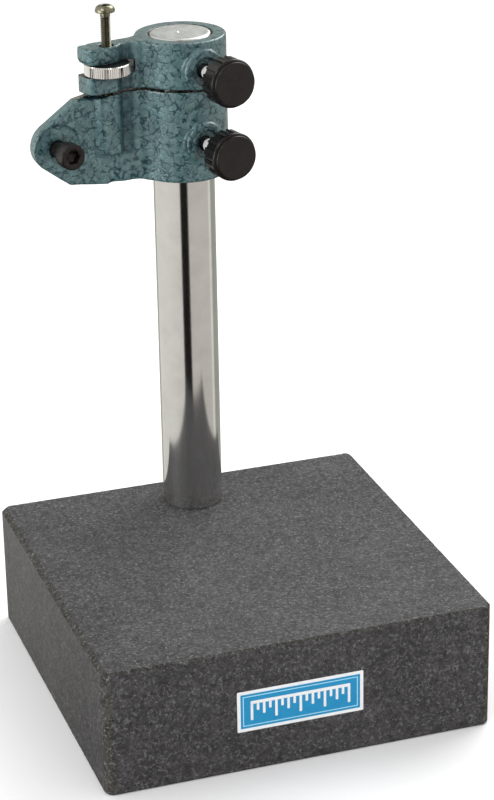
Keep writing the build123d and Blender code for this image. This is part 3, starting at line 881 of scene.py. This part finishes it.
def fine_nut():
    """Knurled nut: straight V knurl, a bevel at both rims, oily flats drawn dark as painted shade."""
    low, high = head_box("fine_adjust_nut")
    centre = Vector(((low.x + high.x) / 2, (low.y + high.y) / 2, 0))
    bottom, top, outer = low.z, high.z, (high.x - low.x) / 2
    hole, countersink = 2.05 * MM, 0.4 * MM
    knurls, depth, crest_share = 66, 0.24 * MM, 1.6
    bevel, step_in, rise = 0.4 * MM, 0.5 * MM, 0.04 * MM
    count = knurls * 6

    def knurled(angle):
        phase = (angle * knurls / TURN) % 1
        crest = min(1.0, crest_share * (1 - abs(2 * phase - 1)))
        return outer - depth * (1 - crest)

    rings = [
        ring(bottom, hole + countersink, count), ring(bottom, outer - bevel - step_in, count),
        ring(bottom + rise, outer - bevel, count), ring(bottom + bevel, knurled, count),
    ]
    rings += [ring(bottom + (top - bottom) * step / 4, knurled, count) for step in (1, 2, 3)]
    rings += [
        ring(top - bevel, knurled, count), ring(top - rise, outer - bevel, count),
        ring(top, outer - bevel - step_in, count), ring(top, hole + countersink, count),
        ring(top - countersink, hole, count), ring(bottom + countersink, hole, count),
    ]
    made = round_piece(
        "fine_nut_knurled", rings, centre, UPWARD, (NUT_CHROME, SHADED_OILED), "fine_nut",
        "fine_adjust_nut", sharp=28, looped=True,
    )
    # Flat faces get the dark oiled finish, which is painted shade under the slab.
    for face in made.data.polygons:
        face.material_index = int(abs(face.normal.z) > 0.9)


# -------------------------------------------------------------------- knobs
KNOB_LOBES = 12
GROOVE_HALF_ANGLE, GROOVE_WALL_ANGLE = 5.9, 1.6


def lobe_offset(angle):
    """How far an angle is from the nearest groove's middle, as a share of a lobe from -0.5 to 0.5."""
    return (angle * KNOB_LOBES / TURN + 0.5) % 1 - 0.5


def groove_share(angle):
    """1 in the bottom of a knob's groove, 0 on a lobe, with drafted walls."""
    offset = math.degrees(abs(lobe_offset(angle)) * TURN / KNOB_LOBES)
    return 1 - share_past(offset, GROOVE_HALF_ANGLE, GROOVE_WALL_ANGLE)


def knob_angles():
    """Angles that put rings' points on the grooves' edges and spread them over the lobes."""
    half = (0, 2.8, 5.5, 5.9, 6.7, 7.5, 7.7, 8.5, 11)
    offsets = [-15] + [-offset for offset in half[:0:-1]] + list(half)
    pitch = 360 / KNOB_LOBES
    return [math.radians(pitch * lobe + offset) for lobe in range(KNOB_LOBES) for offset in offsets]


def knob(side):
    """Moulded knob with square grooves, a rounded shoulder and a hollowed back."""
    node = side + "_knob"
    low, high = head_box(node)
    centre = Vector((0, 0, (low.z + high.z) / 2))
    outer, back, front = (high.z - low.z) / 2, low.y, high.y
    depth, crowning, shoulder = 0.8 * MM, 0.35 * MM, 0.9 * MM
    edge, fade, groove_end = 0.4 * MM, 0.12 * MM, 37.9 * MM
    cap_seat, cap_depth, bore = 7.6 * MM, 1.2 * MM, 2.5 * MM
    angles = knob_angles()

    def around(height, radius, grooved=0.0):
        points = []
        for angle in angles:
            groove = groove_share(angle)
            size = radius - grooved * depth * groove
            size -= grooved * crowning * (2 * lobe_offset(angle)) ** 2 * (1 - groove)
            points.append(Vector((size * math.cos(angle), size * math.sin(angle), height)))
        return points

    # From the bore out over the boss, the hollow and the rim, as (height above the back, radius).
    hollow = (
        (2.2, 2.5), (0.2, 2.5), (0, 2.7), (0, 4.6), (0.2, 4.8), (0.9, 4.9),
        (1.1, 5.1), (1.1, 7.2), (0.9, 7.4), (0.15, 7.55), (0, 7.75),
    )
    rings = [around(back + height * MM, radius * MM) for height, radius in hollow]
    rings += [around(back, outer - 0.45 * MM, 0.9), around(back + fade, outer - 0.2 * MM, 1.0)]
    grooved_length = groove_end - back - edge - 0.3 * MM
    rings += [around(back + edge + grooved_length * step / 4, outer, 1.0) for step in range(5)]
    rings += [around(groove_end - fade, outer, 0.85), around(groove_end, outer, 0.3)]
    rings += [around(groove_end + fade, outer, 0.0)]
    for radius, height in rounding(outer - shoulder, front - shoulder, shoulder, 5, 90, 7):
        rings.append(around(height, radius))
    rings += [around(front - 0.1 * MM, outer - shoulder - 0.6 * MM), around(front - cap_depth, cap_seat)]
    rings += [around(front - cap_depth, bore)]
    round_piece(
        node + "_moulding", rings, centre, OUTWARD, (KNOB,), node, node,
        sharp=30, looped=True,
    )


def knob_cap(side):
    """Disc in the knob's front: rounded rim, very slightly crowned face."""
    node = side + "_knob_cap"
    low, high = head_box(node)
    centre = Vector((0, 0, (low.z + high.z) / 2))
    outer, back, face = (high.z - low.z) / 2, low.y, high.y
    plug, seat, rim, crown = outer - 1.1 * MM, back + 1.2 * MM, 0.55 * MM, 0.03 * MM
    profile = [(0, back), (plug, back), (plug, seat), (outer - 0.25 * MM, seat), (outer, seat + 0.25 * MM)]
    profile += rounding(outer - rim, face - rim - crown, rim, 0, 90, 6)
    profile += [(outer * share, face - crown * share ** 2) for share in (0.88, 0.75, 0.5, 0.25)]
    profile.append((0, face))
    rings, body = turned(profile, 96), side + "_knob"
    round_piece(node + "_disc", rings, centre, OUTWARD, (CAP,), body, node, sharp=30)


def knob_screw(side):
    """M5 stud moulded into the knob: threaded end in the casting drawn dark as painted shade, bright plain
    shank outside.
    """
    node = side + "_knob_screw"
    low, high = head_box(node)
    centre = Vector((0, 0, (low.z + high.z) / 2))
    radius, start, end = (high.z - low.z) / 2, low.y, high.y
    knob_back = head_box(side + "_knob")[0].y
    pitch, thread_end = 0.8 * MM, start + 5.2 * MM
    shank, neck, buried = radius - 0.03 * MM, radius - 0.2 * MM, radius - 0.02 * MM
    count = 64
    rings = turned([(0, start), (radius - 0.45 * MM, start)], count)
    rings += thread(radius - 0.01 * MM, pitch, start + 0.1 * MM, thread_end, count)
    rings += turned([(shank, thread_end + 0.2 * MM), (shank, knob_back - 1.0 * MM)], count)
    rings += turned([(neck, knob_back - 0.9 * MM), (neck, knob_back - 0.6 * MM)], count)
    rings += turned([(buried, knob_back - 0.5 * MM), (buried, end - 0.4 * MM)], count)
    rings += turned([(radius - 0.4 * MM, end), (0, end)], count)
    finishes, body = (WHITE_METAL, SHADED_OILED), side + "_knob"
    made = round_piece(node + "_stud", rings, centre, OUTWARD, finishes, body, node)
    points = made.data.vertices
    for face in made.data.polygons:
        nearest = min((points[i].co - HEAD.translation).dot(OUT) for i in face.vertices)
        # The threaded end takes the dark oiled finish, as painted shade.
        face.material_index = int(nearest < thread_end)


def lug_screw():
    """Black socket-head screw: knurled head, hex socket, plain neck, thread in the lug."""
    low, high = head_box("lug_screw")
    centre = Vector(((low.x + high.x) / 2, 0, (low.z + high.z) / 2))
    start, face, head = low.y, high.y, 6.0 * MM
    head_radius, radius, pitch = (high.z - low.z) / 2, 3.0 * MM, 1.0 * MM
    seat, thread_end, neck = face - head, start + 4.4 * MM, radius - 0.04 * MM
    flats, socket_floor, edge = 5.0 * MM, face - 3.2 * MM, 0.6 * MM
    knurls, knurl_depth = 36, 0.1 * MM
    count = 144

    def knurled(angle):
        phase = (angle * knurls / TURN) % 1
        return head_radius - knurl_depth * abs(2 * phase - 1) ** 1.5

    rings = turned([(0, start), (radius - 0.6 * MM, start)], count)
    rings += thread(radius - 0.01 * MM, pitch, start + 0.15 * MM, thread_end, count, 8)
    rings += turned([(neck, thread_end + 0.2 * MM), (neck, seat - 0.3 * MM)], count)
    rings += turned([(radius + 0.25 * MM, seat), (head_radius - 0.35 * MM, seat)], count)
    rings.append(ring(seat + 0.3 * MM, head_radius - knurl_depth, count))
    rings += [ring(height, knurled, count) for height in (seat + 0.7 * MM, seat + 2.6 * MM, face - 1.2 * MM)]
    rings.append(ring(face - 0.85 * MM, head_radius - 0.06 * MM, count))
    rings += turned(rounding(head_radius - edge, face - edge, edge - 0.06 * MM, 0, 90, 5), count)
    rings += [ring(face, 3.15 * MM, count), ring(face - 0.25 * MM, across_flats(flats), count)]
    rings.append(ring(socket_floor, across_flats(flats - 0.05 * MM), count))
    rings += turned([(1.6 * MM, socket_floor - 0.5 * MM), (0, socket_floor - 0.9 * MM)], count)
    round_piece("lug_cap_screw", rings, centre, OUTWARD, (OXIDE,), "lug_screw", "lug_screw")


def foot_stud():
    """Threaded stud that holds the column, seen in the counterbore underneath."""
    low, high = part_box("column_stud")
    radius, count = (high.x - low.x) / 2, 72
    pitch, point = 1.5 * MM, radius - 0.9 * MM
    rings = turned([(0, low.z), (point, low.z)], count)
    rings += thread(radius - 0.01 * MM, pitch, low.z + 0.1 * MM, high.z - 0.1 * MM, count, 8)
    rings += turned([(point, high.z), (0, high.z)], count)
    verts, faces = skin(rings)
    verts = [v + HEAD.translation for v in verts]
    piece("foot_stud", verts, faces, (STEEL,), "base", ["column_stud"], 35)


def dress_carried_nodes():
    """Gives the CAD nodes that stay their own procedural finishes."""
    finishes = {
        "column_washer": STEEL, "column_lock_washer": STEEL, "column_nut": STEEL,
        "upper_clamp_shoe": BRASS, "lower_clamp_shoe": BRASS,
    }
    for node, material in finishes.items():
        slots = frame["nodes"][node].data.materials
        slots.clear()
        slots.append(material)


# ------------------------------------------------------------------- studio
VIEW_YAW = 18.409
VIEW_PITCH = 22.974
VIEW_ROLL = -1.048
VIEW_FROM = (-0.2801, -0.8592, 0.4991)
VIEW_LENS = 115.53


def make_camera():
    camera = bpy.data.objects.new("view", bpy.data.cameras.new("view"))
    bpy.context.scene.collection.objects.link(camera)
    camera.data.lens = VIEW_LENS
    camera.data.clip_start = 0.01
    turn = Matrix.Rotation(-math.radians(VIEW_YAW), 4, "Z")
    tilt = Matrix.Rotation(math.radians(90 - VIEW_PITCH), 4, "X")
    roll = Matrix.Rotation(math.radians(VIEW_ROLL), 4, "Z")
    camera.matrix_world = Matrix.Translation(VIEW_FROM) @ turn @ tilt @ roll
    bpy.context.scene.camera = camera


def make_floor():
    """Pale floor; mirrors look past it, so that the chrome shows the tent down to its foot."""
    size = 6.0
    mesh = bpy.data.meshes.new("floor")
    corners = [(-size, -size, 0), (size, -size, 0), (size, size, 0), (-size, size, 0)]
    mesh.from_pydata(corners, [], [(0, 1, 2, 3)])
    s = Shader("studio_floor")
    s.set(Base_Color=s.ramp(s.noise(0.4), (0.3, 0.86), (0.7, 0.9)), Roughness=0.6)
    mesh.materials.append(s.material)
    floor = bpy.data.objects.new("floor", mesh)
    bpy.context.scene.collection.objects.link(floor)
    floor.visible_glossy = False


def soft_light(name, place, target, width, height, watts, mirrored=True):
    """Rectangular light aimed at a target; one that isn't mirrored leaves no glint on the chrome."""
    light = bpy.data.lights.new(name, "AREA")
    light.shape = "RECTANGLE"
    light.size, light.size_y = width, height
    light.energy = watts
    lamp = bpy.data.objects.new(name, light)
    bpy.context.scene.collection.objects.link(lamp)
    lamp.location = place
    lamp.visible_glossy = mirrored
    toward = Vector(target) - Vector(place)
    lamp.rotation_euler = toward.to_track_quat("-Z", "Y").to_euler()


# What mirrors see round about, as (degrees from straight ahead of the column, colour).
TENT_LIGHT = (0.92, 0.91, 0.86)
TENT_LEFT = (0.85, 0.83, 0.78)
TENT_SLIT = (0.013, 0.011, 0.011)
TENT_RIGHT = (0.71, 0.67, 0.625)
TENT_EDGE = (0.42, 0.43, 0.38)
TENT = (
    (-180, TENT_EDGE), (-150, TENT_EDGE), (-140, TENT_LIGHT), (-70, TENT_LIGHT), (-24, TENT_LEFT),
    (-18, TENT_LEFT), (-16.5, TENT_SLIT), (11, TENT_SLIT), (12.5, TENT_RIGHT), (97, TENT_RIGHT),
    (102, TENT_LIGHT), (111, TENT_LIGHT), (115, TENT_EDGE), (180, TENT_EDGE),
)

# The tent's foot darkens between these heights of the direction seen, down to the shade.
TENT_FOOT_LOW = -0.5
TENT_FOOT_HIGH = -0.41
TENT_FOOT_SHADE = 0.085


def make_world():
    """White surround for the light; mirrors see a pale tent with a dark gap in front."""
    world = bpy.data.worlds.new("tent")
    world.use_nodes = True
    bpy.context.scene.world = world
    world.node_tree.nodes.clear()
    n = Nodes(world.node_tree)
    direction = n.node("ShaderNodeTexCoord").outputs["Generated"]
    ahead = ((Vector(VIEW_FROM) - HEAD.translation) * Vector((1, 1, 0))).normalized()
    across = n.vector("DOT_PRODUCT", direction, ahead.cross(-UP), "Value")
    along = n.vector("DOT_PRODUCT", direction, ahead, "Value")
    bearing = n.between(n.math("ARCTAN2", across, along), 0.0, 1.0, -math.pi, math.pi)
    tent = n.ramp(bearing, *[(degrees / 360 + 0.5, colour) for degrees, colour in TENT])
    height = n.node("ShaderNodeSeparateXYZ")
    n.feed(height.inputs[0], direction)
    foot = n.between(height.outputs["Z"], TENT_FOOT_SHADE, 1.0, TENT_FOOT_LOW, TENT_FOOT_HIGH)
    mirrored = n.node("ShaderNodeLightPath").outputs["Is Glossy Ray"]
    light = n.node("ShaderNodeBackground")
    n.feed(light.inputs["Color"], n.mix(mirrored, (1.0, 1.0, 1.0), n.mix(1.0, tent, foot, "MULTIPLY")))
    n.feed(n.node("ShaderNodeOutputWorld").inputs["Surface"], light.outputs[0])


def make_studio():
    make_camera()
    make_floor()
    make_world()
    soft_light("overhead", (0.6, 0.45, 0.8), (0, 0, 0.05), width=0.8, height=0.6, watts=6.5)
    soft_light("front_fill", (0.1, -1.3, 0.1), (0, 0, 0.12), width=0.8, height=0.3, watts=1.4, mirrored=False)
    soft_light("left_box", (-1.1, -0.1, 0.25), (0, 0, 0.1), width=0.7, height=0.5, watts=4.0)
    soft_light("key", (-0.85, -0.55, 1.15), (0, 0, 0.15), width=0.3, height=0.3, watts=3.5)
    bpy.context.scene.view_settings.view_transform = "Standard"


make_studio()
granite_block()
column_bar()
label_sticker()
collar_foot = head_box("upper_collar")[0].z
collar_slot = (collar_foot + SLOT_BOTTOM, collar_foot + SLOT_TOP, SLOT_END)
casting("upper_collar_casting", "upper_collar", "collar", trim_ear, collar_slot)
casting("lower_arm_casting", "lower_arm", "arm", draft_lug)
fine_screw()
fine_nut()
for side in ("upper", "lower"):
    knob(side)
    knob_cap(side)
    knob_screw(side)
lug_screw()
foot_stud()
dress_carried_nodes()
